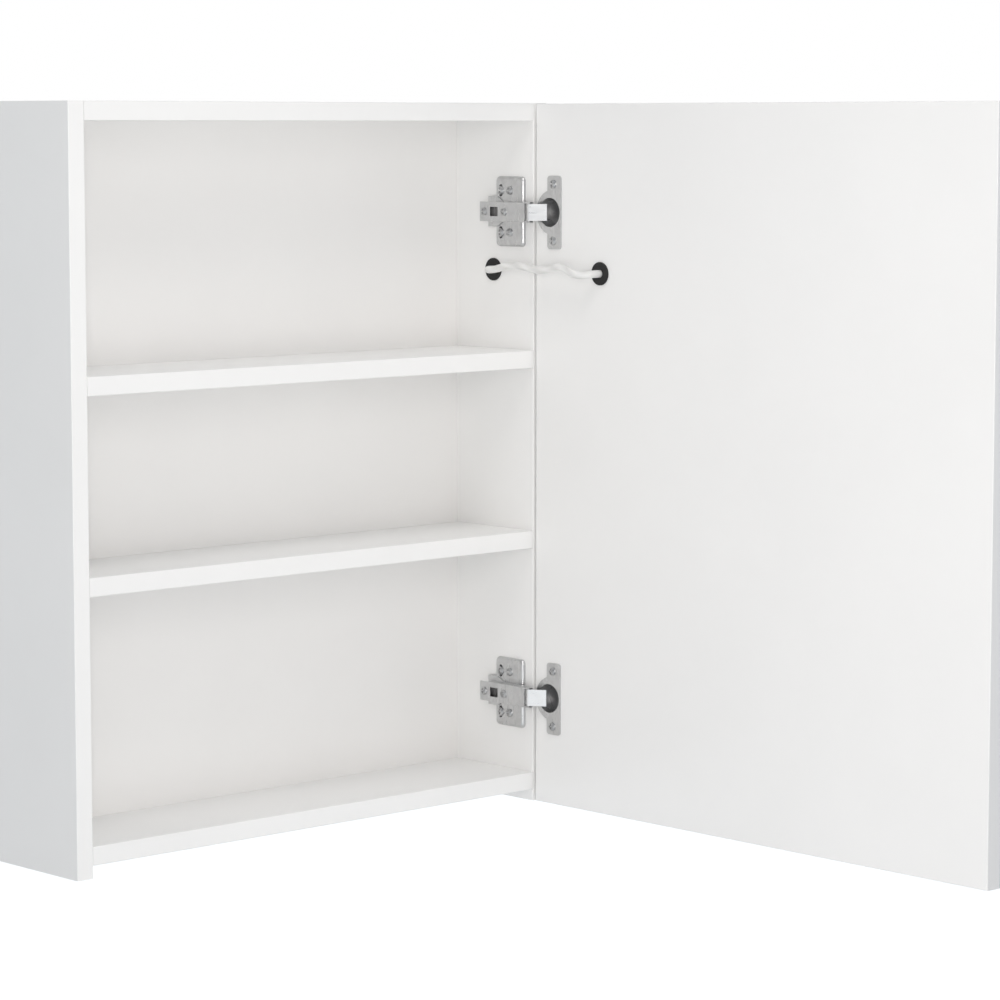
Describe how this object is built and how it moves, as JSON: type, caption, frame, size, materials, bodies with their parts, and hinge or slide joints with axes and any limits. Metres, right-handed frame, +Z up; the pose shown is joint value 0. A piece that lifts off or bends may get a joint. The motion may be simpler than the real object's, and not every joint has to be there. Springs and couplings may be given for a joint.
{
  "type": "wall mirror cabinet",
  "caption": "Wall-hung bathroom cabinet with a mirrored, lamp-lit door on concealed hinges, open shelves inside and a soft lamp lead from side panel to door.",
  "frame": {"origin": "midway between the entry holes of the two keyhole hangers, on the wall plane", "axes": "+X to the right seen from the front, +Y to the wall, +Z up; the door is stored open at a right angle"},
  "size_m": [0.5032, 0.623, 0.6],
  "materials": {
    "white_board": "matt white foil over particle board",
    "back_board": "matt white foil over hardboard",
    "dowel_wood": "bare beech",
    "cast_zinc": "die-cast zinc, bare",
    "hanger_steel": "zinc plated sheet",
    "hinge_steel": "nickel plated, satin",
    "screw_steel": "zinc plated",
    "mirror_glass": "silvered glass with two frosted bands",
    "led_board": "white circuit strip with yellow chips",
    "opal_plastic": "opal, satin",
    "ribbon_plastic": "white flat cable",
    "grommet_rubber": "black, matt",
    "pad_rubber": "grey, matt",
    "lead_sheath": "milky soft sheath"
  },
  "bodies": {
    "carcass": {"back_panel": "back_board", "bottom_panel": "white_board", "cam_bolts": "screw_steel", "cam_locks": "cast_zinc", "hanger_screws": "screw_steel", "lamp_lead": "lead_sheath", "left_hanger": "hanger_steel", "left_side_panel": "white_board", "lower_arm_pin": "hinge_steel", "lower_arm_screws": "screw_steel", "lower_hinge_arm": "hinge_steel", "lower_hinge_plate": "hinge_steel", "lower_plate_screws": "screw_steel", "lower_shelf": "white_board", "panel_grommet": "grommet_rubber", "right_hanger": "hanger_steel", "right_side_panel": "white_board", "top_panel": "white_board", "upper_arm_pin": "hinge_steel", "upper_arm_screws": "screw_steel", "upper_hinge_arm": "hinge_steel", "upper_hinge_plate": "hinge_steel", "upper_plate_screws": "screw_steel", "upper_shelf": "white_board", "wall_pads": "pad_rubber", "wood_dowels": "dowel_wood"},
    "door": {"door_grommet": "grommet_rubber", "door_panel": "white_board", "free_side_diffuser": "opal_plastic", "free_side_led_strip": "led_board", "hinge_side_diffuser": "opal_plastic", "hinge_side_led_strip": "led_board", "led_ribbon": "ribbon_plastic", "lower_cup_screws": "screw_steel", "lower_hinge_cup": "hinge_steel", "mirror_glass": "mirror_glass", "upper_cup_screws": "screw_steel", "upper_hinge_cup": "hinge_steel"},
    "upper_link": {"upper_hinge_link": "hinge_steel", "upper_link_pin": "hinge_steel"},
    "lower_link": {"lower_hinge_link": "hinge_steel", "lower_link_pin": "hinge_steel"}
  },
  "joints": [
    {"name": "door_swing", "type": "hinge", "parent": "carcass", "child": "door", "pos_m": [0.2416, -0.1294, -0.255], "axis": [0, 0, 1], "range_deg": [-90, 15], "deforming": ["lamp_lead"]},
    {"name": "upper_link_swing", "type": "hinge", "parent": "carcass", "child": "upper_link", "pos_m": [0.225, -0.125, -0.047], "axis": [0, 0, 1], "range_deg": [-6, 30]},
    {"name": "lower_link_swing", "type": "hinge", "parent": "carcass", "child": "lower_link", "pos_m": [0.225, -0.125, -0.463], "axis": [0, 0, 1], "range_deg": [-6, 30]}
  ],
  "couplings": [
    {"joint": "upper_link_swing", "follows": "door_swing", "ratio": -0.32297},
    {"joint": "lower_link_swing", "follows": "door_swing", "ratio": -0.32297}
  ]
}
